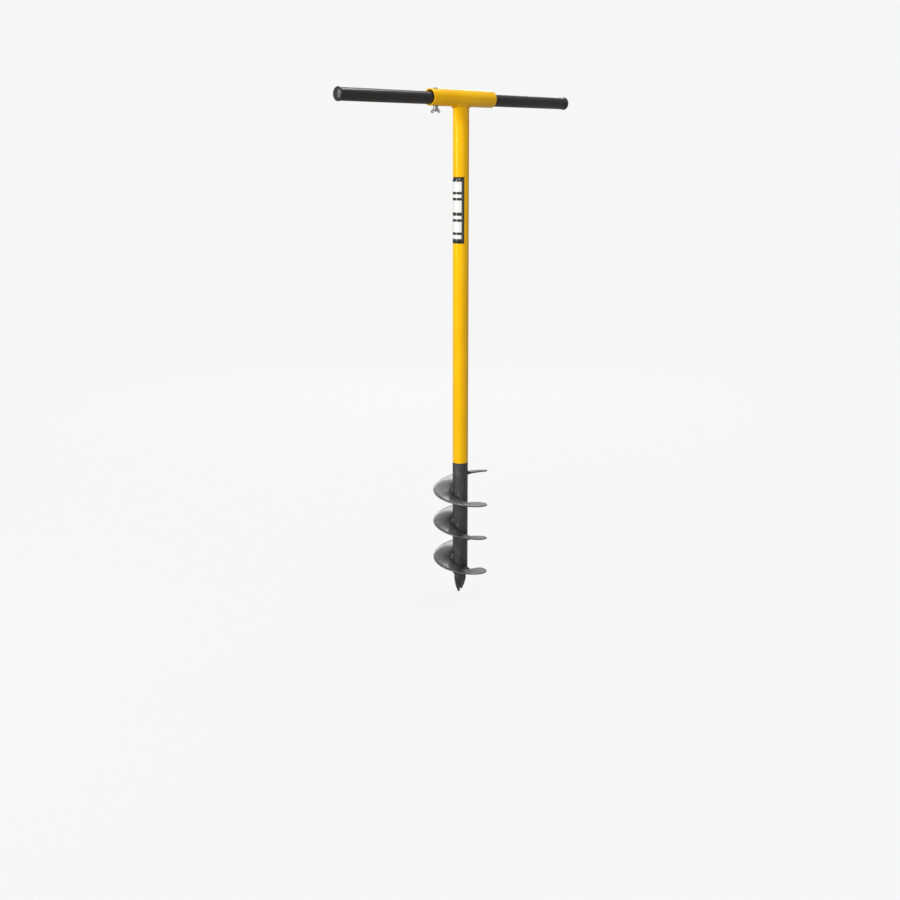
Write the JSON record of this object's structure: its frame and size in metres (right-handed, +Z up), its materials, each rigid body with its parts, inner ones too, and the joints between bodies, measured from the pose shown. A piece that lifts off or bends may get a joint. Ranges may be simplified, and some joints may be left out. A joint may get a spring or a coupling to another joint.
{
  "type": "soil auger",
  "caption": "Hand soil auger: T handle clamped in a cross sleeve by a bolt and wing nut, tube shaft, left-handed helical flights and a twisted two-prong pilot point",
  "frame": {"origin": "on the shaft's axis, level with the tips of the pilot point", "axes": "+Z up along the shaft, X along the handle bar with the clamping bolt on the -X side, Y across it"},
  "size_m": [0.645, 0.12, 1.0894],
  "materials": {
    "yellow_paint": "gloss yellow enamel",
    "black_paint": "semi-gloss black enamel over raw welds",
    "satin_black_paint": "satin black powder coat",
    "bare_steel": "plain drawn steel",
    "zinc_plate": "bright zinc plate",
    "cap_plastic": "moulded black polyethylene",
    "label_film": null
  },
  "bodies": {
    "auger": {"shaft_tube": "yellow_paint", "shaft_label": "label_film", "cross_sleeve": "yellow_paint", "sleeve_weld": "yellow_paint", "auger_stem": "black_paint", "joint_spigot": "bare_steel", "flight_top": "black_paint", "flight_middle": "black_paint", "flight_bottom": "black_paint", "flight_seam_welds": "black_paint", "flight_tack_welds": "black_paint", "flight_end_welds": "black_paint", "stem_end_plug": "black_paint", "pilot_point": "black_paint", "pilot_weld": "black_paint", "handle_bar": "satin_black_paint", "end_cap_left": "cap_plastic", "end_cap_right": "cap_plastic", "handle_bolt": "zinc_plate"},
    "washer": {"bolt_washer": "zinc_plate"},
    "nut": {"wing_nut": "zinc_plate"}
  },
  "joints": [
    {"name": "washer_drop", "type": "slide", "parent": "auger", "child": "washer", "axis": [0, 0, -1], "range_m": [0, 0.0082]},
    {"name": "wing_nut_turn", "type": "hinge", "parent": "washer", "child": "nut", "pos_m": [-0.071, 0, 1.048], "axis": [0, 0, -1], "range_deg": [0, 3690]}
  ],
  "couplings": [
    {"joint": "wing_nut_turn", "follows": "washer_drop", "rad_per_m": 7854}
  ]
}
